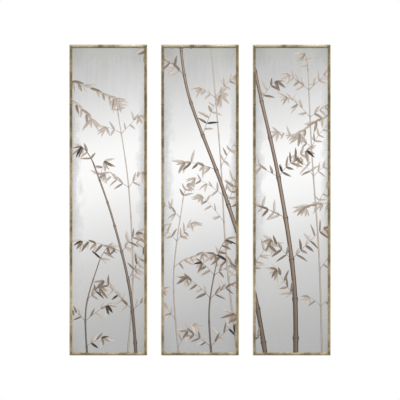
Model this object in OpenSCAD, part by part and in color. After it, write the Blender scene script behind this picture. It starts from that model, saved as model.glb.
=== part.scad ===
// Three tall mirrors in half-round gilded frames, each hung on its own wall bar.
// +X is the viewer's right, +Z is up and the fronts face -Y. The wall is the plane y = 0.
// The origin is on the wall, midway between the two screw holes of the centre wall bar.
// Each panel is built round the middle of its wall bar and then moved sideways to its place.

/* [Set] */
// Width of bare wall between two panels
panel_gap = 69; // [30:0.5:150]

/* [Panel] */
// Outside width of one frame
panel_w = 381; // [340:1:600]
// Outside height of one frame
panel_h = 1524; // [900:1:1900]

/* [Frame moulding] */
// Width of the moulding seen from the front, which is the diameter of its bead
face_w = 14; // [12:0.5:24]
// How far the moulding reaches over the edge of the glass
cover_w = 6; // [4:0.5:8]
// Straight edge between the glass and the bead
sight_edge = 1; // [0.5:0.5:3]

/* [Mirror and backing] */
// Thickness of the mirror glass
glass_t = 4; // [3:0.5:6]
// Clearance at each side of the glass and board; both stand on the bottom rail, with twice this above
glass_play = 1; // [0.5:0.5:2]
// Thickness of the foam tape that holds the glass to the board
tape_t = 1; // [0.5:0.5:2]
// Width of one strip of foam tape
tape_w = 25; // [15:1:40]
// Number of upright strips of tape behind one glass
tape_strips = 4; // [2:1:5]
// Distance from the edges of the glass to the nearest tape
tape_inset = 20; // [10:1:40]
// Thickness of the backing board
board_t = 9; // [9:0.5:15]
// How deep the board's back lies inside the frame's back
board_recess = 2; // [1.5:0.5:4]

/* [Glazing points] */
// Width of one point
point_w = 12; // [8:0.5:18]
// Length of one point from its tip to its free end
point_l = 14; // [10:0.5:20]
// Length of the point's tapered tip
point_tip = 3; // [2:0.5:3]
// Thickness of one point
point_t = 0.8; // [0.5:0.1:1.2]
// How deep a point is driven into the moulding
point_depth = 5; // [3:0.5:5]
// Number of points along one stile
stile_points = 5; // [3:1:8]
// Number of points along a top or bottom rail
rail_points = 2; // [2:1:3]
// Distance from the end of a moulding to the middle of its first point
point_inset = 80; // [50:1:120]

/* [Corner V-nails] */
// Number of V-nails in one mitre
corner_nails = 2; // [1:1:2]
// Length of one leg of a V-nail
nail_leg = 4; // [3:0.5:6]
// Thickness of the V-nail's strip
nail_t = 0.6; // [0.4:0.1:1]
// How deep a V-nail is driven from the back
nail_depth = 10; // [6:0.5:12]

/* [Hanging bars] */
// Length of a bar
bar_l = 250; // [150:1:280]
// Wall thickness of the bar's section
bar_t = 1.6; // [1.2:0.1:2]
// Height of the bar's plate
plate_h = 20; // [16:0.5:30]
// Height of the lips where the two bars hook together
lip_h = 12; // [8:0.5:18]
// Clearance between the two hooked lips
lip_play = 0.4; // [0.3:0.1:0.8]
// Width of the bevel at the tip of a lip, which leads it in behind the other
lead_in = 0.8; // [0.4:0.1:1]
// Distance from the wall to the back of the board
stand_off = 6; // [5.5:0.5:10]
// Height of the frame's top above the wall bar's screw holes
bar_drop = 150; // [100:1:300]
// Diameter of the wall bar's two screw holes
wall_hole_d = 4.8; // [4:0.1:6]
// Distance from the end of the wall bar to its screw hole
wall_hole_inset = 25; // [10:1:40]

/* [Hanging bar screws] */
// Number of screws that hold a hanging bar to its board
bar_screws = 4; // [2:1:6]
// Distance from the end of the bar to its first screw
screw_inset = 20; // [10:1:30]
// Diameter of a screw's shank
screw_d = 3.2; // [2.5:0.1:4]
// How deep a screw goes into the board
screw_depth = 8; // [5:0.5:8]
// Length of a screw's conical tip
screw_tip = 3; // [1:0.5:4]
// Diameter of a screw's head
head_d = 7; // [6:0.5:9]
// Height of a screw's head
head_h = 2; // [1.5:0.1:2.5]
// Width of the slope round the top of a screw's head
head_slope = 1.2; // [0.5:0.1:1.5]
// Clearance round the shank in the hanging bar's hole
screw_play = 0.4; // [0.2:0.1:0.8]
// Clearance round the shank in the board
thread_play = 0.05; // [0.03:0.01:0.1]

/* [Bumpers] */
// Diameter of a bumper where it sits on the board
bumper_d = 20; // [12:1:30]
// How much narrower a bumper is where it meets the wall
bumper_taper = 3; // [1:0.5:6]
// Distance from the edges of the board to the middle of a bumper
bumper_inset = 45; // [30:1:80]

/* [Hidden] */
$fn = 96;
// How far a cutting shape runs past the surface that it cuts
cut = 1;
bead_r = face_w / 2;
// The moulding's back is what the rabbet leaves of its width
back_w = face_w - cover_w;
rabbet_depth = board_recess + board_t + tape_t + glass_t;
bead_base = rabbet_depth + sight_edge;
frame_depth = bead_base + bead_r;
glass_w = panel_w - 2 * (back_w + glass_play);
glass_h = panel_h - 2 * (back_w + glass_play);
// The frame's back stands this far off the wall
frame_back = stand_off - board_recess;
frame_mid_z = bar_drop - panel_h / 2;
rabbet_floor_z = bar_drop - panel_h + back_w;
// The two lips lie side by side, the same distance each side of the middle of the stand-off
lip_near = (stand_off + lip_play) / 2;
lip_far = lip_near + bar_t;
lip_top = plate_h / 2 + lip_h;
// The hanging bar is the wall bar's section turned over about the middle of the hooked lips
hook_z = plate_h / 2 + lip_h / 2;
panel_screw_z = 2 * hook_z;

SIDES = ["left", "centre", "right"];
PIECES = [
    "top_rail", "bottom_rail", "left_stile", "right_stile", "mirror_glass", "foam_tape",
    "backing_board", "glazing_points", "corner_v_nails", "hanging_bar", "hanging_bar_screws",
    "bumpers"
];

// n places spread evenly from -reach to reach
function spread(n, reach) = [for (i = [0:n - 1]) reach * (2 * i / (n - 1) - 1)];

// The four sides of a frame are counted from the bottom: bottom rail, left stile, top rail, right stile
function side_length(k) = k % 2 == 0 ? panel_w : panel_h;
function side_points(k) = k % 2 == 0 ? rail_points : stile_points;

// Moves a panel's pieces sideways to the left, centre or right place
module panel_place(i) {
    translate([(i - 1) * (panel_w + panel_gap), 0, 0]) children();
}

// Moves what is drawn along a bottom rail, outer edge on z = 0 and back on y = 0, to side k
module side_place(k) {
    translate([0, -frame_back, frame_mid_z])
        rotate([0, 90 * k, 0])
            translate([0, 0, -side_length(k + 1) / 2])
                children();
}

// Section of the moulding: x runs from its outer edge inwards and y from its back to its front
module moulding_section() {
    difference() {
        union() {
            square([face_w, bead_base]);
            translate([bead_r, bead_base]) circle(bead_r);
        }
        translate([back_w, -cut]) square([cover_w + cut, rabbet_depth + cut]);
    }
}

// A length of moulding laid along X with both ends mitred
module mitred_moulding(length) {
    half = length / 2;
    inner = half - face_w;
    intersection() {
        rotate([0, -90, 180]) linear_extrude(length + 2 * cut, center = true) moulding_section();
        translate([0, cut, 0])
            rotate([90, 0, 0])
                linear_extrude(frame_depth + 2 * cut)
                    polygon([
                        [-half - cut, -cut],
                        [half + cut, -cut],
                        [inner - cut, face_w + cut],
                        [cut - inner, face_w + cut]
                    ]);
    }
}

// The V-nails in the mitre at the left end of a moulding; past lengthens them out of the back
module mitre_nails(length, past = 0) {
    for (i = [1:corner_nails]) {
        place = back_w * i / (corner_nails + 1) - nail_t / 2;
        translate([place - length / 2, past, place])
            rotate([90, 0, 0])
                linear_extrude(nail_depth + past)
                    polygon([
                        [0, 0],
                        [nail_leg, 0],
                        [nail_leg, nail_t],
                        [nail_t, nail_t],
                        [nail_t, nail_leg],
                        [0, nail_leg]
                    ]);
    }
}

// The glazing points along a moulding, flat on the board's back with their tips in the wood
module side_glazing(length, count) {
    for (x = spread(count, length / 2 - point_inset))
        translate([x, point_t - board_recess, back_w - point_depth])
            rotate([90, 0, 0])
                linear_extrude(point_t)
                    polygon([
                        [0, 0],
                        [point_w / 2, point_tip],
                        [point_w / 2, point_l],
                        [-point_w / 2, point_l],
                        [-point_w / 2, point_tip]
                    ]);
}

// One side of a frame, with slots for its V-nails and glazing points
module frame_side(k) {
    length = side_length(k);
    side_place(k) difference() {
        mitred_moulding(length);
        mitre_nails(length, cut);
        mirror([1, 0, 0]) mitre_nails(length, cut);
        side_glazing(length, side_points(k));
    }
}

// A sheet that stands on the rabbet's floor, depth in from the frame's back
module rabbet_sheet(depth, thickness) {
    translate([-glass_w / 2, -frame_back - depth - thickness, rabbet_floor_z])
        cube([glass_w, thickness, glass_h]);
}

// Places for the screws of a hanging bar, on its plate and pointing into the board
module screw_places() {
    for (x = spread(bar_screws, bar_l / 2 - screw_inset))
        translate([x, bar_t - stand_off, panel_screw_z]) rotate([90, 0, 0]) children();
}

// A bar's Z section: x runs out from the surface that it is screwed to, y runs towards its lip
module bar_section() {
    polygon([
        [0, -plate_h / 2],
        [bar_t, -plate_h / 2],
        [bar_t, plate_h / 2 - bar_t],
        [lip_far, plate_h / 2 - bar_t],
        [lip_far, lip_top],
        [lip_near + lead_in, lip_top],
        [lip_near, lip_top - 2 * lead_in],
        [lip_near, plate_h / 2],
        [0, plate_h / 2]
    ]);
}

module bar() {
    rotate([90, 0, -90]) linear_extrude(bar_l, center = true) bar_section();
}

module top_rail() {
    color("#a8966c") frame_side(2);
}

module bottom_rail() {
    color("#a8966c") frame_side(0);
}

module left_stile() {
    color("#8f7f5c") frame_side(1);
}

module right_stile() {
    color("#8f7f5c") frame_side(3);
}

module mirror_glass() {
    color("#dfe3e2") rabbet_sheet(rabbet_depth - glass_t, glass_t);
}

module foam_tape() {
    height = glass_h - 2 * tape_inset;
    color("#f0ede4")
        for (x = spread(tape_strips, (glass_w - tape_w) / 2 - tape_inset))
            translate([
                x - tape_w / 2,
                -frame_back - board_recess - board_t - tape_t,
                rabbet_floor_z + tape_inset
            ])
                cube([tape_w, tape_t, height]);
}

module backing_board() {
    color("#8b6f4e") difference() {
        rabbet_sheet(board_recess, board_t);
        screw_places()
            translate([0, 0, bar_t - cut])
                cylinder(h = cut + screw_depth + thread_play, d = screw_d + 2 * thread_play);
    }
}

module glazing_points() {
    color("#b4b6b8")
        for (k = [0:3])
            side_place(k) side_glazing(side_length(k), side_points(k));
}

module corner_v_nails() {
    color("#9a9c9e")
        for (k = [0:3])
            side_place(k) mitre_nails(side_length(k));
}

module hanging_bar() {
    color("#c9ccce") difference() {
        translate([0, -stand_off, 2 * hook_z]) rotate([180, 0, 0]) bar();
        screw_places()
            translate([0, 0, -cut]) cylinder(h = bar_t + 2 * cut, d = screw_d + 2 * screw_play);
    }
}

module hanging_bar_screws() {
    shank = bar_t + screw_depth - screw_tip;
    color("#d8b768") screw_places() {
        translate([0, 0, -head_h]) cylinder(h = head_slope, d1 = head_d - 2 * head_slope, d2 = head_d);
        translate([0, 0, head_slope - head_h]) cylinder(h = head_h - head_slope, d = head_d);
        cylinder(h = shank, d = screw_d);
        translate([0, 0, shank]) cylinder(h = screw_tip, d1 = screw_d, d2 = 0);
    }
}

module bumpers() {
    color("#3a3a3a")
        for (side = [-1, 1])
            translate([side * (glass_w / 2 - bumper_inset), -stand_off, rabbet_floor_z + bumper_inset])
                rotate([-90, 0, 0])
                    cylinder(h = stand_off, d1 = bumper_d, d2 = bumper_d - bumper_taper);
}

module wall_bar() {
    color("#c9ccce") difference() {
        bar();
        for (side = [-1, 1])
            translate([side * (bar_l / 2 - wall_hole_inset), cut, 0])
                rotate([90, 0, 0])
                    cylinder(h = bar_t + 2 * cut, d = wall_hole_d);
    }
}

for (i = [0:2]) {
    wall = str(SIDES[i], "_wall_");
    panel = str(SIDES[i], "_panel_");
    panel_place(i) wall_bar();
    panel_place(i) top_rail();
    panel_place(i) bottom_rail();
    panel_place(i) left_stile();
    panel_place(i) right_stile();
    panel_place(i) mirror_glass();
    panel_place(i) foam_tape();
    panel_place(i) backing_board();
    panel_place(i) glazing_points();
    panel_place(i) corner_v_nails();
    panel_place(i) hanging_bar();
    panel_place(i) hanging_bar_screws();
    panel_place(i) bumpers();
}
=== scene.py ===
"""Looks of three tall antiqued mirrors in gilded frames, with a bamboo picture painted across them."""

import math
import random
from collections import namedtuple

import bmesh
import bpy
from bpy.props import FloatProperty, FloatVectorProperty, IntProperty, PointerProperty
from bpy.types import Operator, Panel, PropertyGroup
from mathutils import Matrix, Vector, noise


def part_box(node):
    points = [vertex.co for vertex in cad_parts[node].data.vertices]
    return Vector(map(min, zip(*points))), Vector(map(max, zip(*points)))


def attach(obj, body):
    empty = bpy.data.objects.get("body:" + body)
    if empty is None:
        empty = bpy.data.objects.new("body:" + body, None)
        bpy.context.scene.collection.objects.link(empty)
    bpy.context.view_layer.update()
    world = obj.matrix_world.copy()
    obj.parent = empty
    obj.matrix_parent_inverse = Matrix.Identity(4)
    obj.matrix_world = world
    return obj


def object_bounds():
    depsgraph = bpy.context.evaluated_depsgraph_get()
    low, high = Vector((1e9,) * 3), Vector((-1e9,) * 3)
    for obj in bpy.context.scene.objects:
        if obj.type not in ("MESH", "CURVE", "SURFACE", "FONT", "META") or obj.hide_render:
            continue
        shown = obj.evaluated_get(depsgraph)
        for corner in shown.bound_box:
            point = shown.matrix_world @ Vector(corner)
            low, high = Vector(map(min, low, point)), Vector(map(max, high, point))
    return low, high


bl_info = {
    "name": "Triptych Mirror",
    "version": (1, 0, 0),
    "blender": (4, 5, 0),
    "location": "View3D > Sidebar > Mirrors",
    "description": "Gilding, antiqued silver, painted bamboo and fittings of a three-panel mirror",
    "category": "Add Mesh",
}

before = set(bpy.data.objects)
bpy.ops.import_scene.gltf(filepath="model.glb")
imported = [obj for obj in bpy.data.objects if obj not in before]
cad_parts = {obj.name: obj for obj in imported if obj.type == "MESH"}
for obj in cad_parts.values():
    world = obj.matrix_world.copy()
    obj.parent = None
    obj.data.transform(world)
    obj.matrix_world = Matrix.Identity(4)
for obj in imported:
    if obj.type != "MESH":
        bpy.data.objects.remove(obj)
CAD_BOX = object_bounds()
SIDES = ("left", "centre", "right")
MM = 0.001
# Points nearer than this to each other are one
SAME_PLACE = 0.001 * MM
# The sides of a frame, counted from the bottom in quarter turns
FRAME_SIDES = ("bottom_rail", "left_stile", "top_rail", "right_stile")


class MirrorPanel:
    """Where one panel's frame, glass and board lie, read from its solids."""

    def __init__(self, side):
        self.body = side + "_panel"
        self.low, stile_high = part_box(self.node("left_stile"))
        self.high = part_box(self.node("right_stile"))[1]
        self.face = stile_high.x - self.low.x
        self.width = self.high.x - self.low.x
        self.height = self.high.z - self.low.z
        self.back_y = self.high.y
        self.glass_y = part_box(self.node("mirror_glass"))[0].y
        self.bead_base = self.back_y - self.low.y - self.face / 2
        self.rabbet = self.back_y - self.glass_y
        self.centre = Vector((
            (self.low.x + self.high.x) / 2,
            self.back_y,
            (self.low.z + self.high.z) / 2,
        ))

    def node(self, piece):
        """The name of this panel's node for a piece."""
        return self.body + "_" + piece

    def opening(self):
        """Left, right, bottom and top of the glass that shows."""
        return (
            self.low.x + self.face,
            self.high.x - self.face,
            self.low.z + self.face,
            self.high.z - self.face,
        )


PANELS = [MirrorPanel(side) for side in SIDES]


def smooth_step(value):
    """Rises from 0 to 1 with level ends as value goes from 0 to 1."""
    value = min(max(value, 0.0), 1.0)
    return value * value * (3 - 2 * value)


def bell(value, middle, half):
    """A bell that is 1 at its middle and about a third at a half length from it."""
    return math.exp(-(((value - middle) / half) ** 2))


def put_in_scene(name, data):
    """Makes an object of a mesh, a lamp or a camera."""
    made = bpy.data.objects.new(name, data)
    bpy.context.scene.collection.objects.link(made)
    return made


def object_from(bm, name, material):
    """Makes an object of a bmesh, with one material."""
    mesh = bpy.data.meshes.new(name)
    bm.to_mesh(mesh)
    bm.free()
    mesh.materials.append(material)
    return put_in_scene(name, mesh)


def piece_from(bm, name, body, material, sharp):
    """Makes a closed bmesh a piece that rides on a body, facing outwards and smooth up to an angle."""
    bmesh.ops.recalc_face_normals(bm, faces=bm.faces[:])
    piece = object_from(bm, name, material)
    piece.data.shade_smooth()
    piece.data.set_sharp_from_angle(angle=math.radians(sharp))
    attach(piece, body)


def dress(node, material):
    """Gives a CAD node its material."""
    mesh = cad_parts[node].data
    mesh.materials.clear()
    mesh.materials.append(material)


def dress_each(piece, material):
    """Gives a piece of every panel its material."""
    for panel in PANELS:
        dress(panel.node(piece), material)


class Nodes:
    """A node tree under construction. Each step returns the socket that the next one goes on from."""

    def __init__(self, owner):
        owner.use_nodes = True
        self.nodes = owner.node_tree.nodes
        self.links = owner.node_tree.links

    def feed(self, socket, value):
        """Links an output to a socket, or writes a plain number, vector or colour there."""
        if isinstance(value, bpy.types.NodeSocket):
            self.links.new(value, socket)
        elif socket.type == "RGBA":
            socket.default_value = (*value[:3], 1)
        else:
            socket.default_value = value

    def add(self, kind, inputs=(), output=0, **settings):
        """Adds a node, feeds its inputs by place or by name, and returns one of its outputs."""
        made = self.nodes.new(kind)
        for setting, value in settings.items():
            setattr(made, setting, value)
        for key, value in inputs.items() if isinstance(inputs, dict) else enumerate(inputs):
            self.feed(made.inputs[key], value)
        return made.outputs[output]

    def math(self, operation, first, *others):
        """A sum on one value, or on several from left to right."""
        for other in others or (0.0,):
            first = self.add("ShaderNodeMath", (first, other), operation=operation)
        return first

    def vector(self, operation, *vectors, output=0):
        """A sum on one or two vectors."""
        return self.add("ShaderNodeVectorMath", vectors, output, operation=operation)

    def plus(self, *values):
        """All the values added."""
        return self.math("ADD", *values)

    def less(self, value, taken):
        """A value with another taken off it."""
        return self.math("SUBTRACT", value, taken)

    def times(self, *values):
        """All the values multiplied."""
        return self.math("MULTIPLY", *values)

    def most(self, *values):
        """The greatest of the values."""
        return self.math("MAXIMUM", *values)

    def away(self, value, middle=0.0):
        """How far a value is from a middle one."""
        return self.math("ABSOLUTE", self.less(value, middle) if middle else value)

    def range(self, value, low, high, to_low=0.0, to_high=1.0, smooth=True):
        """Maps a value from one range to another, level outside it."""
        kind = "SMOOTHSTEP" if smooth else "LINEAR"
        inputs = (value, low, high, to_low, to_high)
        return self.add("ShaderNodeMapRange", inputs, interpolation_type=kind)

    def fading(self, distance, reach):
        """1 at an edge, falling evenly to 0 where the distance from it equals the reach."""
        return self.range(self.less(1.0, self.math("DIVIDE", distance, reach)), 0.0, 1.0, smooth=False)

    def mix(self, factor, first, second):
        """Blends two colours."""
        inputs = {"Factor": factor, "A": first, "B": second}
        return self.add("ShaderNodeMix", inputs, "Result", data_type="RGBA")

    def split(self, vector):
        """The X, Y and Z of a vector."""
        return self.add("ShaderNodeSeparateXYZ", (vector,)).node.outputs


class Finish(Nodes):
    """A material under construction."""

    def __init__(self, name, **sockets):
        self.material = bpy.data.materials.new(name)
        super().__init__(self.material)
        self.shader = self.nodes["Principled BSDF"]
        for socket, value in sockets.items():
            self.set(socket.replace("_", " "), value)

    def set(self, socket, value):
        """Feeds one of the shader's sockets."""
        self.feed(self.shader.inputs[socket], value)

    def coat(self, base, *layers):
        """Sets the colour: a base, and over it each layer's colour by that layer's share."""
        for share, colour in layers:
            base = self.mix(share, base, colour)
        self.set("Base Color", base)

    def place(self, centre=(0, 0, 0)):
        """Object coordinates measured from a centre."""
        source = self.add("ShaderNodeTexCoord", output="Object")
        return self.vector("SUBTRACT", source, centre)

    def attribute(self, name, output="Fac"):
        """A value stored on the piece's own points."""
        return self.add("ShaderNodeAttribute", output=output, attribute_name=name)

    def noise(self, vector, scale, detail=3.0, rough=0.5):
        """Soft random tone. A scale for each axis draws it out."""
        if isinstance(scale, tuple):
            return self.noise(self.vector("MULTIPLY", vector, scale), 1.0, detail, rough)
        inputs = {"Vector": vector, "Scale": scale, "Detail": detail, "Roughness": rough}
        return self.add("ShaderNodeTexNoise", inputs)

    def cells(self, vector, scale, output="Distance"):
        """Random cells."""
        return self.add("ShaderNodeTexVoronoi", {"Vector": vector, "Scale": scale}, output)

    def bump(self, height, distance, strength=0.5, facing=None):
        """Raises the surface, or one that faces another way, by a height map, distance in metres."""
        inputs = {"Strength": strength, "Distance": distance, "Height": height}
        if facing:
            inputs["Normal"] = facing
        self.set("Normal", self.add("ShaderNodeBump", inputs))


class GildingSettings(PropertyGroup):
    """Sizes and colours of the gilded surface."""

    gold: FloatVectorProperty(
        name="Gold", description="Burnished leaf", subtype="COLOR", default=(0.51, 0.42, 0.27))
    # The burnish also serves as painted highlight on the flanks and where sides are toned lighter for the
    # light
    burnish: FloatVectorProperty(
        name="Burnish", description="Leaf rubbed bright on the high spots", subtype="COLOR",
        default=(0.74, 0.65, 0.46))
    # The toning colour also serves as painted shade where the crest and the sides are toned darker for the
    # light
    shade: FloatVectorProperty(
        name="Toning", description="Brown wax left in the hollows", subtype="COLOR",
        default=(0.20, 0.155, 0.085))
    bole: FloatVectorProperty(
        name="Bole", description="Clay that shows where the leaf is worn", subtype="COLOR",
        default=(0.26, 0.15, 0.08))
    swell: FloatProperty(
        name="Swell", description="Height of the long hand-worked swells", unit="LENGTH",
        default=0.5 * MM)
    ripple: FloatProperty(
        name="Ripple", description="Height of the short tool marks", unit="LENGTH",
        default=0.25 * MM)
    fleck: FloatProperty(
        name="Fleck", description="Height of the finest marks", unit="LENGTH", default=0.12 * MM)
    knot: FloatProperty(
        name="Knot", description="Height of the small knots on the left stiles", unit="LENGTH",
        default=0.8 * MM)
    station: FloatProperty(
        name="Station", description="Distance between two rings of points", unit="LENGTH",
        default=4 * MM)


class SilverSettings(PropertyGroup):
    """Colours and sizes of the antiqued silver."""

    silver: FloatVectorProperty(
        name="Silver", description="Clear silvering", subtype="COLOR", default=(0.965, 0.964, 0.960))
    haze: FloatVectorProperty(
        name="Haze", description="Rubbed silver along the stiles", subtype="COLOR",
        default=(0.715, 0.722, 0.728))
    cloud: FloatVectorProperty(
        name="Cloud", description="Tarnished silver along the top", subtype="COLOR",
        default=(0.735, 0.745, 0.655))
    corner: FloatVectorProperty(
        name="Corner", description="Dull silver in the corners", subtype="COLOR",
        default=(0.60, 0.61, 0.575))
    # A painted shadow: the top rail's shade and its dark reflection, painted as a line into the silver
    edge: FloatVectorProperty(
        name="Edge", description="Line of lost silver under the top rail", subtype="COLOR",
        default=(0.10, 0.08, 0.055))
    foxing: FloatVectorProperty(
        name="Foxing", description="Small brown spots in the haze", subtype="COLOR",
        default=(0.30, 0.28, 0.24))
    side_haze: FloatProperty(
        name="Side haze", description="Usual width of the haze along the stiles", unit="LENGTH",
        default=0.038)
    top_haze: FloatProperty(
        name="Top haze", description="Usual depth of the clouds along the top", unit="LENGTH",
        default=0.085)
    foot_haze: FloatProperty(
        name="Foot haze", description="Height of the faint haze along the foot", unit="LENGTH",
        default=0.11)
    wind: FloatProperty(
        name="Wind", description="Twist of the glass, in radians of forward lean for each metre across",
        default=0.018)


class BambooSettings(PropertyGroup):
    """Colours and sizes of the painted bamboo."""

    cane: FloatVectorProperty(
        name="Cane", description="Body of a cane", subtype="COLOR", default=(0.33, 0.25, 0.19))
    cane_edge: FloatVectorProperty(
        name="Cane edge", description="Dark edge of a cane", subtype="COLOR",
        default=(0.060, 0.040, 0.030))
    pale: FloatVectorProperty(
        name="Pale", description="Furthest leaves", subtype="COLOR", default=(0.62, 0.53, 0.455))
    wash: FloatVectorProperty(
        name="Wash", description="Thin cream laid behind the leaves", subtype="COLOR",
        default=(0.71, 0.645, 0.585))
    tan: FloatVectorProperty(
        name="Tan", description="Light leaves", subtype="COLOR", default=(0.43, 0.34, 0.27))
    taupe: FloatVectorProperty(
        name="Taupe", description="Middle leaves", subtype="COLOR", default=(0.26, 0.195, 0.15))
    olive: FloatVectorProperty(
        name="Olive", description="Brown-green leaves", subtype="COLOR", default=(0.25, 0.20, 0.12))
    dark: FloatVectorProperty(
        name="Dark", description="Nearest leaves", subtype="COLOR", default=(0.040, 0.027, 0.022))
    leaf_length: FloatProperty(
        name="Leaf length", description="Length of a middling leaf", unit="LENGTH", default=0.054)
    leaf_width: FloatProperty(
        name="Leaf width", description="Greatest width of a middling leaf", unit="LENGTH",
        default=0.0126)
    spray_gap: FloatProperty(
        name="Spray gap", description="Distance between two sprays on a twig", unit="LENGTH",
        default=0.032)
    paint: FloatProperty(
        name="Paint", description="Thickness of the thickest paint", unit="LENGTH", default=0.32 * MM)
    seed: IntProperty(name="Seed", description="Start of the random draws", default=42)


class StudioSettings(PropertyGroup):
    """Camera, lamps and floor."""

    lens: FloatProperty(
        name="Lens", description="Focal length", subtype="DISTANCE_CAMERA", default=135.0)
    distance: FloatProperty(
        name="Distance", description="Camera to wall", unit="LENGTH", default=7.38)
    floor_drop: FloatProperty(
        name="Floor drop", description="Height of the frames above the floor", unit="LENGTH",
        default=0.476)
    lamp_power: FloatProperty(
        name="Lamp power", description="Power of each lamp", unit="POWER", default=18.0)
    ambient: FloatProperty(
        name="Ambient", description="Level of the all-round light", default=0.72)


def quarter_turn(panel, side):
    """Turns what is laid along X at z = 0, outer edge down, into one side of a frame."""
    reach = (panel.height if side % 2 == 0 else panel.width) / 2
    turn = Matrix.Rotation(math.radians(90 * side), 4, "Y")
    return Matrix.Translation(panel.centre) @ turn @ Matrix.Translation((0, 0, -reach))


# Gap between the gilding's inner edge and the glass
CLEAR_OF_GLASS = 0.02 * MM
# How far the leaf stands off the wood, and how deep its hidden inner shell lies in it
LEAF_RISE = 0.1 * MM
SHELL_DEPTH = 0.5 * MM
# The most that the crest stands off the wood
CREST_RISE = 0.6 * MM
# Distance from a mitre over which the hand work fades out
MITRE_FADE = 0.022
# Length round the bead that the gilding's patterns are drawn over
ROUND_THE_BEAD = 0.05
# Length of one sheet of gold leaf
LEAF_SHEET = 0.083
# The swells, tool marks and flecks of the hand work: length of one, how many lie round the bead, and the
# shift of its pattern from side to side and at the start
HAND_WORK = ((0.055, 1.1, 7.3, 0), (0.016, 2.6, 5.1, 40), (0.0055, 6.5, 3.7, 90))
# Knots on a left stile: their distances below the frame's top, and the half length of one
KNOT_DROPS = (0.137, 0.294)
KNOT_HALF = 0.0055
# Places round the bead, from 0 at the back's outer side to 1 on the glass: both edges and both flanks
BEAD_PLACES = (0.17, 0.43, 0.70, 0.96)
# How much darker each side is at those places: partly brown wax toning and partly painted light and shade,
# each side toned its own way for the light that falls on it, the top rail darkest along its lower edge
# where its shadow lies
WAX_AND_PAINTED_LIGHT_ROUND_THE_BEAD = {
    "bottom_rail": (-0.35, -0.10, 0.30, 0.45),
    "left_stile": (-0.32, 0.02, 0.36, -0.08),
    "top_rail": (0.45, -0.10, -0.75, 0.55),
    "right_stile": (-0.72, 0.10, 0.38, 0.18),
}
# Patches along each side: distance from its left or top end, half length, and how much darker
TONED_PATCHES = {
    "bottom_rail": (
        (0.140, 0.050, 0.05), (0.215, 0.040, -0.40), (0.268, 0.022, 0.40), (0.350, 0.018, -0.35),
    ),
    "left_stile": (
        (0.137, 0.005, 0.40), (0.294, 0.005, 0.40), (0.300, 0.170, 0.22), (0.667, 0.085, -0.42),
        (1.257, 0.095, -0.70),
    ),
    "top_rail": (
        (0.153, 0.014, 0.80), (0.205, 0.045, 0.40), (0.295, 0.040, -0.20), (0.372, 0.014, 0.25),
    ),
    "right_stile": (
        (0.270, 0.190, 0.15), (0.810, 0.030, 0.20), (0.950, 0.050, -0.20), (1.360, 0.090, -0.35),
    ),
}


def bead_outline(face, base, rabbet):
    """The gilded surface's outline from the frame's back over the bead to the glass.

    Each point is (inwards, forwards, direction inwards, direction forwards).
    """
    radius = face / 2
    outer_steps, round_steps = 4, 18
    outline = [(0.0, base * i / outer_steps, -1.0, 0.0) for i in range(outer_steps)]
    for i in range(round_steps + 1):
        angle = math.pi * (1 - i / round_steps)
        across, forward = math.cos(angle), math.sin(angle)
        outline.append((radius * (1 + across), base + radius * forward, across, forward))
    outline.append((face, rabbet + CLEAR_OF_GLASS, 1.0, 0.0))
    return outline


def proud_of_wood(side, length, along, around, settings):
    """How proud the hand-worked gilding stands of the plain moulding, in metres."""
    proud = 0.0
    heights = (settings.swell, settings.ripple, settings.fleck)
    for height, (mark, turns, shift, start) in zip(heights, HAND_WORK):
        where = Vector((along / mark, around * turns, side * shift + start))
        proud += height * 0.5 * (1 + noise.noise(where))
    if FRAME_SIDES[side] == "left_stile":
        for drop in KNOT_DROPS:
            proud += settings.knot * bell(along, drop, KNOT_HALF)
    proud *= smooth_step(min(along, length - along) / MITRE_FADE)
    # Little of it reaches the frame's back or the glass
    return proud * smooth_step(0.25 + 3 * around) * smooth_step(0.35 + 4 * (1 - around))


def darker_by_wax_and_painted_light(name, along, around):
    """How much darker a side of the frame is at a place, from brown wax toning and from painted light and
    shade.
    """
    tones = WAX_AND_PAINTED_LIGHT_ROUND_THE_BEAD[name]
    tone = tones[0]
    for i in range(1, len(tones)):
        share = (around - BEAD_PLACES[i - 1]) / (BEAD_PLACES[i] - BEAD_PLACES[i - 1])
        tone += (tones[i] - tones[i - 1]) * smooth_step(share)
    return tone + sum(depth * bell(along, spot, half) for spot, half, depth in TONED_PATCHES[name])


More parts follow.
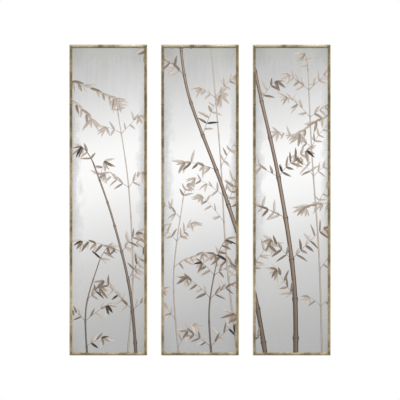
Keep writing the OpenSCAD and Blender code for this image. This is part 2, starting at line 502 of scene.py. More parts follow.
def gild_moulding(panel, side, material, settings):
    """Covers one moulding with its hand-worked gilded surface, mitred at both ends."""
    name = FRAME_SIDES[side]
    length = panel.width if side % 2 == 0 else panel.height
    outline = bead_outline(panel.face, panel.bead_base, panel.rabbet)
    count = len(outline)
    bm = bmesh.new()
    place = bm.verts.layers.float_vector.new("gilt_place")
    relief = bm.verts.layers.float.new("gilt_relief")
    tone_shade_layer = bm.verts.layers.float.new("gilt_tone_and_painted_light")
    bmesh.ops.create_grid(
        bm, x_segments=round(length / settings.station), y_segments=2 * count, size=0.5)
    for vert in bm.verts:
        # One way round the ring lies the gilded surface, and the other way back its inner shell
        share = vert.co.x + 0.5
        ring = round((vert.co.y + 0.5) * 2 * count) % (2 * count)
        outside = ring < count
        index = ring if outside else 2 * count - 1 - ring
        inward, forward, lean_in, lean_out = outline[index]
        around = index / (count - 1)
        along = (share - 0.5) * (length - 2 * inward) + length / 2
        if name in ("top_rail", "right_stile"):
            along = length - along
        proud = proud_of_wood(side, length, along, around, settings)
        rise = LEAF_RISE + proud if outside else -SHELL_DEPTH
        inward += rise * lean_in
        # Rubbing down flattens the crest
        forward += min(rise, CREST_RISE * math.tanh(rise / MM)) * lean_out
        vert.co = ((share - 0.5) * (length - 2 * inward), -forward, inward)
        vert[place] = (along, around * ROUND_THE_BEAD, side * 3.0)
        vert[relief] = proud / (settings.swell + settings.ripple)
        # Wax toning and painted light and shade of this side at this point
        vert[tone_shade_layer] = darker_by_wax_and_painted_light(name, along, around)
    bmesh.ops.remove_doubles(bm, verts=bm.verts[:], dist=SAME_PLACE)
    ends = [edge for edge in bm.edges if edge.is_boundary]
    bmesh.ops.holes_fill(bm, edges=ends, sides=0)
    bmesh.ops.transform(bm, matrix=quarter_turn(panel, side), verts=bm.verts[:])
    piece_from(bm, panel.node(name) + "_gilding", panel.body, material, sharp=50)


def gilded_leaf(settings):
    """Antique gold leaf: a crest painted darker and flanks painted brighter, partly painted shade and
    highlight and partly leaf rubbed towards the bole, with seams and worn flecks.
    """
    finish = Finish("gilded_leaf", Metallic=0.85)
    place = finish.attribute("gilt_place", "Vector")
    along, around, _ = finish.split(place)
    off_crest = finish.away(around, 0.55 * ROUND_THE_BEAD)
    mottle = finish.noise(place, 170, 4.0, 0.65)
    brushed = finish.noise(place, (60, 420, 1), 3.0, 0.6)
    shine = finish.plus(
        finish.range(finish.attribute("gilt_relief"), 0.15, 1.0, 0.42, 0.78),
        finish.range(finish.noise(place, 24, 2.0), 0.35, 0.65, -0.16, 0.10),
        finish.range(mottle, 0.35, 0.68, -0.16, 0.14),
        finish.range(brushed, 0.35, 0.65, -0.06, 0.06),
        # The crest is painted darker and the flanks brighter: painted shade and highlight that deepen the
        # light from both sides, together with leaf rubbed towards the bole on the crest
        finish.range(off_crest, 0.10 * ROUND_THE_BEAD, 0.32 * ROUND_THE_BEAD, -0.12, 0.20),
    )
    # Darker by each side's wax toning and painted light and shade
    shine = finish.less(shine, finish.times(finish.attribute("gilt_tone_and_painted_light"), 0.75))
    sheet = finish.math("FRACT", finish.times(along, 1 / LEAF_SHEET))
    seam = finish.times(
        finish.range(finish.away(sheet, 0.5), 0.0, 0.010, 1, 0),
        finish.range(mottle, 0.4, 0.6, 0.05, 0.45),
    )
    worn = finish.range(finish.noise(place, 420, 3.0, 0.7), 0.66, 0.74)
    finish.coat(
        settings.shade,
        (finish.range(shine, 0.0, 0.58), settings.gold),
        (finish.range(shine, 0.62, 1.0), settings.burnish),
        (seam, settings.burnish),
        (finish.times(worn, 0.6), settings.bole),
    )
    finish.set("Roughness", finish.range(mottle, 0.3, 0.7, 0.50, 0.36))
    finish.bump(finish.noise(place, 900, 5.0, 0.7), 0.12 * MM, 0.6)
    return finish.material


# Share of the usual haze beside the left and beside the right stile
HAZE_SHARES = (1.3, 0.9)
# How far the dull corners reach from the stiles, and from the top or the foot
HIGH_CORNER = (0.075, 0.13)
LOW_CORNER = (0.05, 0.16)
# Distances from the top rail between which the painted shadow line under it fades out: the rail's shade
# and its dark reflection, painted into the silver
SHADOW_LINE_UNDER_TOP_RAIL = (1.0 * MM, 2.4 * MM)
# Distances from the top rail at which the faint veil begins and is at its full strength
VEIL = (0.45, 0.05)


def wound_glass(finish, across, wind):
    """The surface direction of a glass that leans forward a little more on one side."""
    lean = finish.add("ShaderNodeCombineXYZ", {"Z": finish.times(across, -wind)})
    level = finish.add("ShaderNodeNewGeometry", output="Normal")
    return finish.vector("NORMALIZE", finish.vector("ADD", level, lean))


def aged_silver(panel, settings, start):
    """Antiqued mirror: clear in the middle, rubbed haze along the stiles and clouds along the top."""
    finish = Finish(panel.body + "_aged_silver")
    left, right, bottom, top = panel.opening()
    half_w, half_h = (right - left) / 2, (top - bottom) / 2
    across, _, up = finish.split(finish.place((panel.centre.x, 0, panel.centre.z)))
    shifted = finish.place((panel.centre.x + start, start, panel.centre.z))
    rubbed_down = finish.noise(shifted, (120, 1, 12))
    rubbed_over = finish.noise(shifted, (22, 1, 130))
    hatch = finish.times(finish.plus(rubbed_down, rubbed_over), 0.5)
    blotches = finish.noise(shifted, (30, 1, 13), 4.0, 0.62)
    runs = finish.noise(shifted, (70, 1, 7), 3.0, 0.55)
    clouds = finish.noise(shifted, 22, 4.0, 0.6)
    to_top = finish.less(half_h, up)
    to_foot = finish.plus(half_h, up)
    to_side = finish.less(half_w, finish.away(across))

    narrow, wide = 0.45 * settings.side_haze, 1.55 * settings.side_haze
    reach = finish.range(blotches, 0.32, 0.68, narrow, wide, smooth=False)
    beside_left = finish.fading(finish.plus(half_w, across), finish.times(reach, HAZE_SHARES[0]))
    beside_right = finish.fading(finish.less(half_w, across), finish.times(reach, HAZE_SHARES[1]))
    side = finish.times(
        finish.most(beside_left, beside_right),
        finish.range(up, 0.40, 0.62, 1.0, 0.55),
        finish.range(up, -0.10, -0.34, 1.0, 0.4),
        finish.range(hatch, 0.38, 0.62, 0.72, 1.0),
    )
    shallow, deep = 0.5 * settings.top_haze, 1.4 * settings.top_haze
    depth = finish.range(runs, 0.34, 0.66, shallow, deep, smooth=False)
    cloudy = finish.times(
        finish.math("POWER", finish.fading(to_top, depth), 0.6),
        finish.range(clouds, 0.36, 0.64, 0.35, 0.9),
        finish.range(hatch, 0.38, 0.62, 0.7, 1.0),
    )
    low = finish.times(
        finish.fading(to_foot, settings.foot_haze), finish.range(clouds, 0.3, 0.7, 0.1, 0.4))
    haze = finish.most(side, finish.most(cloudy, low))
    veil = finish.times(
        finish.range(to_top, *VEIL), finish.range(runs, 0.4, 0.6, 0.0, 0.16))
    high_corners = finish.times(
        finish.fading(to_side, HIGH_CORNER[0]), finish.fading(to_top, HIGH_CORNER[1]))
    low_corners = finish.times(
        finish.fading(to_side, LOW_CORNER[0]), finish.fading(to_foot, LOW_CORNER[1]), 0.6)
    corners = finish.times(
        finish.most(high_corners, low_corners), finish.range(hatch, 0.38, 0.62, 0.5, 0.75))
    spots = finish.times(
        finish.range(finish.noise(shifted, 240, 2.0), 0.70, 0.76),
        finish.range(haze, 0.2, 0.8, 0.0, 0.35),
    )

    finish.coat(
        settings.silver,
        (finish.most(haze, veil), settings.haze),
        (cloudy, settings.cloud),
        (corners, settings.corner),
        # Painted shadow line under the top rail
        (finish.range(to_top, *SHADOW_LINE_UNDER_TOP_RAIL, 1.0, 0.0), settings.edge),
        (spots, settings.foxing),
    )
    finish.set("Metallic", finish.range(haze, 0.0, 1.0, 1.0, 0.5, smooth=False))
    finish.set("Roughness", finish.range(haze, 0.0, 1.0, 0.03, 0.17, smooth=False))
    waver = finish.noise(shifted, 7, 1.0)
    finish.bump(waver, 0.5 * MM, 0.12, wound_glass(finish, across, settings.wind))
    return finish.material


def bare_wood(name, upright):
    """Pale wood of the moulding's back, with its grain along the piece."""
    finish = Finish(name, Roughness=0.62)
    along_the_grain = (60, 60, 2.2) if upright else (2.2, 60, 60)
    place = finish.vector("MULTIPLY", finish.place(), along_the_grain)
    grain = finish.noise(place, 3.0, 5.0, 0.65)
    fibre = finish.noise(place, 16.0, 3.0, 0.6)
    finish.coat(
        (0.50, 0.36, 0.215),
        (finish.range(grain, 0.3, 0.7), (0.66, 0.51, 0.335)),
        (finish.range(fibre, 0.52, 0.8, 0.0, 0.5), (0.36, 0.24, 0.13)),
    )
    finish.bump(fibre, 0.1 * MM)
    return finish.material


def fibreboard():
    """Brown fibreboard of short pale and dark fibres, faintly clouded and rubbed in handling."""
    finish = Finish("fibreboard", Roughness=0.82)
    place = finish.place()
    clouds = finish.noise(place, 9, 4.0, 0.6)
    scuffs = finish.noise(place, (26, 1, 5), 4.0, 0.6)
    fibre = finish.noise(finish.vector("MULTIPLY", place, (1.0, 1.0, 0.55)), 1100, 4.0, 0.75)
    flecks = finish.range(finish.noise(place, 1500, 2.0), 0.62, 0.72)
    finish.coat(
        (0.235, 0.15, 0.088),
        (finish.range(fibre, 0.36, 0.64), (0.40, 0.285, 0.18)),
        (finish.range(clouds, 0.35, 0.65, 0.0, 0.55), (0.255, 0.165, 0.10)),
        (finish.range(scuffs, 0.52, 0.75, 0.0, 0.45), (0.45, 0.345, 0.23)),
        (finish.times(flecks, 0.5), (0.55, 0.44, 0.31)),
    )
    finish.bump(fibre, 0.15 * MM)
    return finish.material


def drawn_aluminium():
    """Mill-finish extrusion with die lines along its length."""
    finish = Finish("drawn_aluminium", Metallic=1.0)
    place = finish.place()
    lines = finish.noise(place, (4, 900, 900), 4.0, 0.7)
    smears = finish.noise(place, (14, 60, 60))
    finish.coat(
        (0.60, 0.61, 0.62),
        (finish.range(lines, 0.3, 0.7), (0.80, 0.81, 0.82)),
        (finish.range(smears, 0.55, 0.8, 0.0, 0.3), (0.50, 0.51, 0.52)),
    )
    finish.set("Roughness", finish.range(lines, 0.3, 0.7, 0.28, 0.42))
    finish.bump(lines, 0.05 * MM)
    return finish.material


def zinc_steel():
    """Strip steel with zinc spangle."""
    finish = Finish("zinc_steel", Metallic=1.0)
    place = finish.place()
    tone = finish.split(finish.cells(place, 260, "Color"))[0]
    finish.coat((0.50, 0.52, 0.54), (tone, (0.72, 0.74, 0.76)))
    finish.set("Roughness", finish.range(tone, 0, 1, 0.30, 0.45))
    finish.bump(finish.noise(place, 1400), 0.03 * MM)
    return finish.material


def white_foam():
    """Closed-cell foam tape."""
    finish = Finish("white_foam", Roughness=0.9)
    cells = finish.cells(finish.place(), 1500)
    finish.coat((0.70, 0.69, 0.65), (finish.range(cells, 0, 1), (0.86, 0.85, 0.82)))
    finish.bump(cells, 0.1 * MM, 0.6)
    return finish.material


def black_rubber():
    """Matt moulded rubber with dust in its pores."""
    finish = Finish("black_rubber", Roughness=0.7)
    place = finish.place()
    dust = finish.range(finish.noise(place, 160), 0.45, 0.75, 0.0, 0.5)
    finish.coat((0.018, 0.018, 0.019), (dust, (0.075, 0.073, 0.07)))
    finish.bump(finish.noise(place, 1200, 4.0, 0.7), 0.08 * MM, 0.6)
    return finish.material


def yellow_zinc():
    """Yellow-passivated screw steel."""
    finish = Finish("yellow_zinc", Metallic=1.0)
    tone = finish.noise(finish.place(), 300)
    finish.coat((0.70, 0.50, 0.20), (finish.range(tone, 0.35, 0.65), (0.78, 0.68, 0.42)))
    finish.set("Roughness", finish.range(tone, 0.3, 0.7, 0.26, 0.4))
    return finish.material


# What each point of the paint keeps: its place along and across its stroke, and the stroke's own number
BRUSH_LAYERS = ("along", "across", "tone")


class BrushedPaint(Finish):
    """Matt paint with streaks that follow each brush stroke and differ from stroke to stroke."""

    def __init__(self, name, length_wise, cross_wise):
        super().__init__(name, Roughness=0.55, Specular_IOR_Level=0.3)
        places = [self.attribute("brush_" + layer) for layer in BRUSH_LAYERS]
        self.along, self.across, self.tone = places
        scaled = [self.times(*pair) for pair in zip(places, (length_wise, cross_wise, 37.0))]
        streaks = self.add("ShaderNodeCombineXYZ", scaled)
        self.streaks = self.noise(streaks, 1.0, 3.0, 0.6)
        self.bump(self.streaks, 0.1 * MM)


def painted_leaf(name, colour, ink, outline):
    """Brushed leaf: loaded with dark paint at its root and upper edge, thinning to a pale tip."""
    paint = BrushedPaint(name, 4.4, 7.0)
    light = [min(1.0, channel * 1.30 + 0.06) for channel in colour]
    deep = [channel * 0.55 for channel in colour]
    off_rib = paint.away(paint.across)
    loaded = paint.times(
        paint.plus(paint.range(paint.across, -0.2, 1.0), paint.range(paint.along, 0.35, 0.0)),
        paint.range(paint.streaks, 0.3, 0.7, 0.55, 1.0),
        0.8,
    )
    rim = paint.times(
        paint.range(off_rib, 0.72, 0.95, 0.0, outline),
        paint.range(paint.streaks, 0.4, 0.6, 0.3, 1.0),
    )
    paint.coat(
        colour,
        (paint.range(paint.streaks, 0.32, 0.70), light),
        (paint.range(paint.along, 0.62, 1.0, 0.0, 0.55), light),
        (loaded, deep),
        (paint.range(off_rib, 0.0, 0.14, 0.5, 0.0), deep),
        (rim, ink),
        (paint.range(paint.tone, 0.4, 1.0, 0.0, 0.3), light),
    )
    return paint.material


def painted_cane(name, colour, ink, depth):
    """Brushed cane: streaked body, inked edges, light on one side and deeper towards its foot."""
    paint = BrushedPaint(name, 26.0, 4.0)
    light = [min(1.0, channel * 1.6) for channel in colour]
    deep = [channel * 0.5 for channel in colour]
    up = paint.split(paint.place((0, 0, CAD_BOX[0].z)))[2]
    lit = paint.times(
        paint.range(up, 0.05, 0.8, 0.25, 1.0),
        paint.range(paint.away(paint.across, -0.3), 0.0, 0.5, depth, 0.0),
    )
    rim = paint.times(
        paint.range(paint.away(paint.across), 0.50, 0.78),
        paint.range(paint.streaks, 0.3, 0.6, 0.6, 1.0),
    )
    paint.coat(
        colour,
        (paint.range(paint.streaks, 0.32, 0.68), light),
        (paint.range(paint.across, -0.1, 0.9, 0.0, 0.85), deep),
        (paint.range(up, 0.75, 0.1, 0.0, depth), deep),
        (lit, light),
        (rim, ink),
    )
    return paint.material


def pointing(angle):
    """The direction at an angle from level, in the plane of the picture."""
    return Vector((math.cos(angle), math.sin(angle)))


def angle_of(heading):
    """The angle of a direction from level."""
    return math.atan2(heading.y, heading.x)


def drooping(angle, weight):
    """A direction turned towards straight down by the weight of a leaf."""
    return math.atan2(math.sin(angle) - weight, math.cos(angle))


def left_of(heading):
    """The direction a quarter turn to the left of another."""
    return Vector((-heading.y, heading.x))


def curved_line(root, angle, length, bend):
    """A line from its root that bends aside. Like every line here, it takes a share of its length."""
    ahead = pointing(angle)
    aside = left_of(ahead)
    return lambda t: root + ahead * (length * t) + aside * (bend * length * t * t)


def smooth_line(points):
    """A smooth line through points."""
    spans = len(points) - 1

    def line(t):
        place = min(max(t, 0.0), 1.0) * spans
        i = min(int(place), spans - 1)
        local = place - i
        before, after = points[max(i - 1, 0)], points[min(i + 2, spans)]
        here, there = points[i], points[i + 1]
        return 0.5 * (
            2 * here
            + (there - before) * local
            + (2 * before - 5 * here + 4 * there - after) * local ** 2
            + (3 * here - before - 3 * there + after) * local ** 3
        )

    return line


def part_of(line, start, end):
    """A stretch of a line, as a line of its own."""
    return lambda t: line(start + (end - start) * t)


def line_length(line, steps):
    """The length of a line, measured in straight steps."""
    return sum((line((i + 1) / steps) - line(i / steps)).length for i in range(steps))


# A brush stroke. Its path is a line, and its shape says how much of its width it has along the way
Stroke = namedtuple("Stroke", "tone path width shape chance")


class BambooPicture:
    """Grows the painted bamboo and keeps its brush strokes, in metres across the whole set."""

    def __init__(self, settings):
        self.settings = settings
        self.random = random.Random(settings.seed)
        self.strokes = []

    def stroke(self, tone, path, width, shape):
        """Keeps one brush stroke."""
        self.strokes.append(Stroke(tone, path, width, shape, self.random.random()))

    def leaf(self, root, angle, scale, tone):
        """One bamboo leaf from its root, pointing along an angle."""
        length = self.settings.leaf_length * scale * self.random.uniform(0.7, 1.3)
        width = self.settings.leaf_width * scale * self.random.uniform(0.8, 1.25)
        bend = self.random.uniform(-0.16, 0.16) - 0.12 * math.cos(angle)
        path = curved_line(root, angle, length, bend)
        self.stroke(tone, path, width, lambda t: 0.05 + (t ** 0.55) * (1 - t) ** 0.9 / 0.42)

    def tone(self, tones, height):
        """A tone out of a list from pale to dark, lighter high up and darker near the foot."""
        bias = 0.55 + 1.6 * smooth_step((height - CAD_BOX[0].z) / 0.9)
        return tones[int(len(tones) * self.random.random() ** bias)]

    def spray(self, tip, angle, leaves, scale, tones):
        """A fan of leaves that hangs from the last stretch of a twig."""
        lean = drooping(angle, 1.2)
        back = pointing(angle) * -5 * MM
        for turn in (-0.9, 0.9):
            self.leaf(tip, lean + turn * self.random.uniform(0.6, 1.3), 1.1 * scale, "wash")
        spread = math.radians(self.random.uniform(24, 38))
        for i in range(leaves):
            off = i - (leaves - 1) / 2
            turn = off * spread * self.random.uniform(0.7, 1.3)
            size = scale * (1.15 - 0.14 * abs(off))
            self.leaf(tip + back * (i % 2), lean + turn, size, self.tone(tones, tip.y))

    def twig(self, root, angle, length, scale, tones, width=2.6 * MM):
        """A thin curved twig with sprays along it and at its tip."""
        bend = self.random.uniform(-0.28, 0.05) * (1 if math.cos(angle) > 0 else -1)
        path = curved_line(root, angle, length, bend)
        near = "dark" in tones or "olive" in tones
        self.stroke("twig" if near else "far_twig", path, width, lambda t: 1.0 - 0.6 * t)
        stops = max(1, round(length / self.settings.spray_gap))
        for i in range(1, stops + 1):
            here = path(i / stops)
            aim = angle_of(here - path(i / stops - 0.05))
            if i == stops:
                self.spray(here, aim, self.random.choice((3, 4, 4, 5)), scale, tones)
                continue
            for side in self.random.choice(((1,), (-1,), (1, -1), (1, -1))):
                lean = drooping(aim + side * self.random.uniform(0.45, 0.95), 0.55)
                self.leaf(here, lean, 0.95 * scale, self.tone(tones, root.y))
            if self.random.random() < 0.6:
                lean = drooping(aim + self.random.uniform(-1.6, 1.6), 0.3)
                self.leaf(here, lean, 1.05 * scale, "wash")

    def joint(self, here, heading, width, tone):
        """The inked ring round a cane's joint, with a pale bloom above it on a near cane."""
        across = left_of(heading)
        thick = 0.10 * width + 0.9 * MM

        def ring(t, lift=0.0):
            bow = 0.10 * width * (2 * t - 1) ** 2
            return here + across * (width * 0.60 * (2 * t - 1)) + heading * (bow + lift)

        ink = "ink" if tone == "cane" else "far_ink"
        self.stroke(ink, ring, thick, lambda t: 0.6 + 1.6 * t * (1 - t))
        if tone == "cane":
            above = 1.1 * thick
            self.stroke("bloom", lambda t: ring(t, above), thick, lambda t: 0.5 + 1.6 * t * (1 - t))

    def cane(self, points, wide, narrow, spacing, twigs, scale, tones, tone):
        """A jointed cane along a smooth line through its points, with twigs at its joints."""
        line = smooth_line([Vector(point) for point in points])
        joints = max(2, round(line_length(line, 60) / spacing))
        side = 1
        for i in range(joints):
            start = i / joints
            width = wide + (narrow - wide) * (i + 0.5) / joints
            path = part_of(line, start, (i + 1) / joints)
            self.stroke(tone, path, width, lambda t: 0.88 + 0.24 * (2 * t - 1) ** 8)
            if i == 0:
                continue
            here = line(start)
            heading = (line(start + 0.01) - line(start - 0.01)).normalized()
            self.joint(here, heading, width, tone)
            chance = twigs * smooth_step(0.1 + start / 0.3)
            for _ in range(2):
                if self.random.random() < chance:
                    turn = math.radians(self.random.uniform(28, 52)) * side
                    reach = self.random.uniform(0.09, 0.23) * scale
                    self.twig(here, angle_of(heading) + turn, reach, scale, tones)
                side = -side
        tip = angle_of(line(1.0) - line(0.98))
        self.twig(line(1.0), tip, 0.11 * scale, scale, tones, narrow)


# Where the canes start, hidden below the glass
FOOT = CAD_BOX[0].z - 0.05
# Each cane: points up its line, width at foot and tip in millimetres, distance between joints, chance of a
# twig at a joint, and size of its leaves
FAR_CANES = (
    (((0.60, FOOT), (0.585, -0.9), (0.55, -0.4), (0.53, 0.02)), 10, 5, 0.15, 0.40, 0.8),
    (((-0.10, FOOT), (-0.13, -1.0), (-0.085, -0.62)), 9, 4, 0.12, 0.45, 0.8),
    (((-0.36, FOOT), (-0.33, -1.0), (-0.35, -0.55), (-0.40, -0.20)), 10, 4, 0.14, 0.42, 0.8),
    (((0.19, FOOT), (0.13, -0.9), (0.10, -0.4), (0.05, 0.18)), 10, 5, 0.15, 0.38, 0.8),
)
NEAR_CANES = (
    (((0.47, FOOT), (0.46, -1.0), (0.385, -0.5), (0.285, -0.05), (0.24, 0.2)), 29, 13, 0.17, 0.42, 1.0),
    (((0.33, FOOT), (0.255, -1.02), (0.11, -0.55), (-0.055, -0.1), (-0.10, 0.2)), 27, 12, 0.16, 0.50, 1.0),
    (((-0.31, FOOT), (-0.345, -1.05), (-0.43, -0.70), (-0.52, -0.44)), 19, 7, 0.125, 0.60, 0.95),
    (((-0.55, FOOT), (-0.56, -1.15), (-0.50, -0.93)), 11, 5, 0.11, 0.55, 0.9),
    (((0.06, FOOT), (0.045, -1.15), (0.085, -0.9)), 12, 5, 0.11, 0.55, 0.9),
)
# Twigs that reach in from both sides of the set: root, angle in degrees, and length
SIDE_TWIGS = (
    ((-0.66, -0.02), -18, 0.26),
    ((-0.66, -0.10), -38, 0.17),
    ((0.66, -0.18), 205, 0.20),
    ((0.66, -0.62), 190, 0.15),
)
# Tones of the leaves, from pale to dark. One named more often is drawn more often
FAR_TONES = ("pale", "pale", "pale", "tan")
SIDE_TONES = ("pale", "pale", "tan", "tan", "taupe")
NEAR_TONES = ("pale", "pale", "tan", "tan", "tan", "taupe", "taupe", "olive", "taupe", "dark")
# Thickness of each tone's paint as a share of the thickest, so that nearer strokes lie on top
LAYERS = {
    "wash": 0.14, "far_cane": 0.22, "far_ink": 0.28, "far_twig": 0.32, "pale": 0.38, "tan": 0.50,
    "cane": 0.58, "ink": 0.66, "bloom": 0.67, "twig": 0.70, "olive": 0.78, "taupe": 0.86, "dark": 0.95,
}


def paint_bamboo(settings):
    """The whole picture: canes from the foot of the right panel lean left across the set."""
    picture = BambooPicture(settings)
    for canes, tones, tone in ((FAR_CANES, FAR_TONES, "far_cane"), (NEAR_CANES, NEAR_TONES, "cane")):
        for points, wide, narrow, spacing, twigs, scale in canes:
            picture.cane(points, wide * MM, narrow * MM, spacing, twigs, scale, tones, tone)
    for root, angle, reach in SIDE_TWIGS:
        picture.twig(Vector(root), math.radians(angle), reach, 1.0, SIDE_TONES, 3.4 * MM)
    return picture.strokes


def lay_stroke(bm, layers, stroke, glass_y, paint):
    """Adds a stroke's domed upper face to a bmesh, just in front of the glass."""
    is_cane = stroke.tone in ("cane", "far_cane")
    # Streaks keep their length on a cane, and are drawn out with any other stroke
    length = line_length(stroke.path, 8) if is_cane else 1
    height = paint * (LAYERS[stroke.tone] + 0.05 * stroke.chance)
    made = bmesh.ops.create_grid(bm, x_segments=14 if is_cane else 9, y_segments=4, size=0.5)
    for vert in made["verts"]:
        t = vert.co.x + 0.5
        across = 2 * vert.co.y
        heading = (stroke.path(min(t + 0.02, 1.0)) - stroke.path(max(t - 0.02, 0.0))).normalized()
        spot = stroke.path(t) + left_of(heading) * (across * stroke.shape(t) * stroke.width / 2)
        vert.co = (spot.x, glass_y - height * (0.55 + 0.45 * (1 - across * across)), spot.y)
        for layer, value in zip(layers, (t * length, across, stroke.chance)):
            vert[layer] = value


def paint_piece(panel, name, strokes, material, settings):
    """One panel's share of the strokes of one tone, cut at the frame and closed down to the glass."""
    left, right, bottom, top = panel.opening()
    bm = bmesh.new()
    layers = [bm.verts.layers.float.new("brush_" + layer) for layer in BRUSH_LAYERS]
    for stroke in strokes:
        reach = [stroke.path(i / 6).x for i in range(7)]
        if max(reach) >= left - stroke.width and min(reach) <= right + stroke.width:
            lay_stroke(bm, layers, stroke, panel.glass_y, settings.paint)
    for place, outward in (
        ((left, 0, 0), (-1, 0, 0)),
        ((right, 0, 0), (1, 0, 0)),
        ((0, 0, bottom), (0, 0, -1)),
        ((0, 0, top), (0, 0, 1)),
    ):
        whole = bm.verts[:] + bm.edges[:] + bm.faces[:]
        bmesh.ops.bisect_plane(
            bm, geom=whole, plane_co=place, plane_no=outward, clear_outer=True, dist=SAME_PLACE)
    bmesh.ops.remove_doubles(bm, verts=bm.verts[:], dist=0.2 * SAME_PLACE)
    if not bm.faces:
        bm.free()
        return
    made = bmesh.ops.extrude_face_region(bm, geom=bm.faces[:])["geom"]
    for vert in made:
        if isinstance(vert, bmesh.types.BMVert):
            # A hair into the glass, so that no gap shows
            vert.co.y = panel.glass_y + 0.01 * MM
    piece_from(bm, panel.body + "_" + name, panel.body, material, sharp=60)


class MIRROR_OT_gilding(Operator):
    """Gild the frames"""

    bl_idname = "mirror.gilding"
    bl_label = "Gild the frames"

    def execute(self, context):
        settings = context.scene.mirror_gilding
        material = gilded_leaf(settings)
        woods = (bare_wood("level_wood", False), bare_wood("upright_wood", True))
        for panel in PANELS:
            for side, name in enumerate(FRAME_SIDES):
                dress(panel.node(name), woods[side % 2])
                gild_moulding(panel, side, material, settings)
        return {"FINISHED"}


class MIRROR_OT_silver(Operator):
    """Antique the mirror glass"""

    bl_idname = "mirror.silver"
    bl_label = "Antique the glass"

    def execute(self, context):
        for i, panel in enumerate(PANELS):
            # Each panel's pattern starts at another place
            material = aged_silver(panel, context.scene.mirror_silver, 3.7 * i + 1.3)
            dress(panel.node("mirror_glass"), material)
        return {"FINISHED"}


class MIRROR_OT_bamboo(Operator):
    """Paint the bamboo across the three panels"""

    bl_idname = "mirror.bamboo"
    bl_label = "Paint the bamboo"

    def execute(self, context):
        settings = context.scene.mirror_bamboo
        strokes = paint_bamboo(settings)
        pale, tan, taupe, ink = settings.pale, settings.tan, settings.taupe, settings.cane_edge
        pieces = {
            "wash": (("wash",), painted_leaf("wash", settings.wash, tan, 0.25)),
            "far_leaves": (("pale",), painted_leaf("pale_leaf", pale, taupe, 0.5)),
            "light_leaves": (("tan",), painted_leaf("tan_leaf", tan, ink, 0.45)),
            "middle_leaves": (("taupe",), painted_leaf("taupe_leaf", taupe, ink, 0.6)),
            "olive_leaves": (("olive",), painted_leaf("olive_leaf", settings.olive, ink, 0.6)),
            "dark_leaves": (("dark", "ink"), painted_leaf("dark_leaf", settings.dark, ink, 0.0)),
            "far_canes": (("far_cane",), painted_cane("far_cane_paint", pale, taupe, 0.3)),
            "far_twigs": (("far_twig", "far_ink"), painted_leaf("far_twig", tan, ink, 0.0)),
            "twigs": (("twig", "bloom"), painted_leaf("twig", taupe, ink, 0.0)),
            "canes": (("cane",), painted_cane("cane_paint", settings.cane, ink, 0.8)),
        }
        for panel in PANELS:
            for name, (tones, material) in pieces.items():
                share = [stroke for stroke in strokes if stroke.tone in tones]
                paint_piece(panel, name, share, material, settings)
        return {"FINISHED"}


class MIRROR_OT_backs(Operator):
    """Finish the boards and the foam tape"""

    bl_idname = "mirror.backs"
    bl_label = "Finish the backs"

    def execute(self, context):
        dress_each("backing_board", fibreboard())
        dress_each("foam_tape", white_foam())
        return {"FINISHED"}


class MIRROR_OT_fixings(Operator):
    """Finish the glazing points and the corner nails"""

    bl_idname = "mirror.fixings"
    bl_label = "Finish the points and nails"

    def execute(self, context):
        steel = zinc_steel()
        dress_each("glazing_points", steel)
        dress_each("corner_v_nails", steel)
        return {"FINISHED"}


class MIRROR_OT_bars(Operator):
    """Finish the wall bars, the hanging bars and their screws"""

    bl_idname = "mirror.bars"
    bl_label = "Finish the bars"

    def execute(self, context):
        aluminium = drawn_aluminium()
        for side in SIDES:
            dress(side + "_wall_bar", aluminium)
        dress_each("hanging_bar", aluminium)
        dress_each("hanging_bar_screws", yellow_zinc())
        return {"FINISHED"}


class MIRROR_OT_bumpers(Operator):
    """Finish the bumpers"""

    bl_idname = "mirror.bumpers"
    bl_label = "Finish the bumpers"

    def execute(self, context):
        dress_each("bumpers", black_rubber())
        return {"FINISHED"}


# Radius of the floor, and the distances from the middle between which it turns to plain white
FLOOR_RADIUS = 30.0
FLOOR_FADE = (1.0, 1.9)
# What polished surfaces see: height of the direction, as the sine of its elevation, and brightness
STUDIO_BANDS = (
    (-1.00, 0.25), (-0.80, 0.32), (-0.60, 0.64), (-0.30, 0.70), (-0.16, 0.44),
    (-0.100, 0.475), (-0.070, 0.56), (-0.036, 0.70), (-0.003, 0.91), (0.027, 1.00),
    (0.050, 0.875), (0.068, 0.75), (0.084, 0.625), (0.100, 0.55), (0.160, 0.48),
    (0.300, 0.50), (0.500, 0.72), (0.750, 1.00), (1.000, 1.00),
)
# How far aside a direction turns, as the sine, while the bands give way to the light beside the mirrors
ASIDE = (0.35, 0.85)
# Heights between which that light goes from its glow to its dusk, and the brightness of both
ASIDE_HEIGHTS = (0.08, 0.55)
ASIDE_LIGHT = (1.12, 0.50)
# Each lamp: place from the wall at the set's upper edge, height of its aim above the middle, and size
LAMPS = {
    "overhead_lamp": ((0, -1.3, 1.7), 0.3, (2.6, 0.9)),
    "back_lamp": ((0.6, 1.8, 1.5), 0.0, (2.2, 0.9)),
}


def backdrop_floor(level, centre):
    """A pale floor that turns to plain white away from the mirrors."""
    middle = (centre.x, 0, level)
    pale = (0.86, 0.86, 0.86)
    finish = Finish("pale_floor", Base_Color=pale, Roughness=0.9, Specular_IOR_Level=0.0)
    away = finish.vector("LENGTH", finish.place(middle), output="Value")
    seen = finish.add("ShaderNodeLightPath", output="Is Camera Ray")
    white = finish.add("ShaderNodeEmission")
    far = finish.times(finish.range(away, *FLOOR_FADE), seen)
    surface = finish.add("ShaderNodeMixShader", (far, finish.shader.outputs[0], white))
    finish.feed(finish.nodes["Material Output"].inputs["Surface"], surface)
    bm = bmesh.new()
    bmesh.ops.create_circle(bm, cap_ends=True, segments=96, radius=FLOOR_RADIUS)
    bmesh.ops.translate(bm, verts=bm.verts[:], vec=middle)
    floor = object_from(bm, "floor", finish.material)
    floor.visible_glossy = False


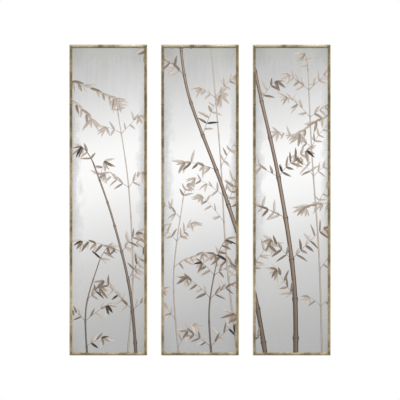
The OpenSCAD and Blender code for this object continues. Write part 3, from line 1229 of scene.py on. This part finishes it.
def studio_world(ambient):
    """White for the camera, level light on matt surfaces, bands and bright sides for polished ones."""
    world = bpy.data.worlds.new("studio")
    sky = Nodes(world)
    aside, _, up = sky.split(sky.add("ShaderNodeTexCoord", output="Generated"))
    ramp = sky.add("ShaderNodeValToRGB", (sky.range(up, -1.0, 1.0, smooth=False),)).node
    ramp.color_ramp.interpolation = "CARDINAL"
    stops = ramp.color_ramp.elements
    while len(stops) < len(STUDIO_BANDS):
        stops.new(0.5)
    for stop, (height, light) in zip(stops, STUDIO_BANDS):
        stop.position = (height + 1) / 2
        stop.color = (light, light, light, 1)
    glow = sky.range(sky.away(up), *ASIDE_HEIGHTS, *ASIDE_LIGHT)
    polished = sky.mix(sky.range(sky.away(aside), *ASIDE), ramp.outputs["Color"], glow)
    path = sky.add("ShaderNodeLightPath").node.outputs
    seen = sky.mix(path["Is Glossy Ray"], (ambient, ambient, ambient), polished)
    seen = sky.mix(path["Is Camera Ray"], seen, (1, 1, 1))
    sky.feed(sky.nodes["Background"].inputs["Color"], seen)
    bpy.context.scene.world = world


def soft_lamp(name, place, aim, power, size):
    """A rectangular soft lamp that points at a place."""
    lamp = bpy.data.lights.new(name, "AREA")
    lamp.shape = "RECTANGLE"
    lamp.size, lamp.size_y = size
    lamp.energy = power
    holder = put_in_scene(name, lamp)
    holder.location = place
    holder.rotation_euler = (aim - place).to_track_quat("-Z", "Y").to_euler()


class MIRROR_OT_stage(Operator):
    """Set up the camera, lamps, floor and background"""

    bl_idname = "mirror.stage"
    bl_label = "Set the stage"

    def execute(self, context):
        settings = context.scene.mirror_studio
        low, high = CAD_BOX
        centre = (low + high) / 2
        lens = bpy.data.cameras.new("camera")
        lens.lens = settings.lens
        lens.sensor_width = 36
        camera = put_in_scene("camera", lens)
        camera.location = (centre.x, -settings.distance, centre.z)
        camera.rotation_euler = (math.radians(90), 0, 0)
        context.scene.camera = camera
        backdrop_floor(low.z - settings.floor_drop, centre)
        studio_world(settings.ambient)
        for name, (place, lift, size) in LAMPS.items():
            aim = Vector((0, 0, centre.z + lift))
            soft_lamp(name, Vector(place) + Vector((0, 0, high.z)), aim, settings.lamp_power, size)
        context.scene.view_settings.view_transform = "Standard"
        return {"FINISHED"}


class MIRROR_PT_panel(Panel):
    """Lists the steps that finish the mirrors"""

    bl_label = "Triptych Mirror"
    bl_idname = "MIRROR_PT_panel"
    bl_space_type = "VIEW_3D"
    bl_region_type = "UI"
    bl_category = "Mirrors"

    def draw(self, context):
        for operator in OPERATORS:
            self.layout.operator(operator.bl_idname)


SETTINGS = {
    "mirror_gilding": GildingSettings,
    "mirror_silver": SilverSettings,
    "mirror_bamboo": BambooSettings,
    "mirror_studio": StudioSettings,
}
OPERATORS = (
    MIRROR_OT_stage,
    MIRROR_OT_gilding,
    MIRROR_OT_silver,
    MIRROR_OT_bamboo,
    MIRROR_OT_backs,
    MIRROR_OT_fixings,
    MIRROR_OT_bars,
    MIRROR_OT_bumpers,
)


def register():
    """Makes the settings, the operators and the panel known."""
    for group in (*SETTINGS.values(), *OPERATORS, MIRROR_PT_panel):
        bpy.utils.register_class(group)
    for name, group in SETTINGS.items():
        setattr(bpy.types.Scene, name, PointerProperty(type=group))


def unregister():
    """Takes them out again."""
    for name in SETTINGS:
        delattr(bpy.types.Scene, name)
    for group in (MIRROR_PT_panel, *reversed(OPERATORS), *reversed(SETTINGS.values())):
        bpy.utils.unregister_class(group)


def main():
    """Finishes the whole set."""
    register()
    bpy.ops.mirror.stage()
    bpy.ops.mirror.gilding()
    bpy.ops.mirror.silver()
    bpy.ops.mirror.bamboo()
    bpy.ops.mirror.backs()
    bpy.ops.mirror.fixings()
    bpy.ops.mirror.bars()
    bpy.ops.mirror.bumpers()


if __name__ == "__main__":
    main()
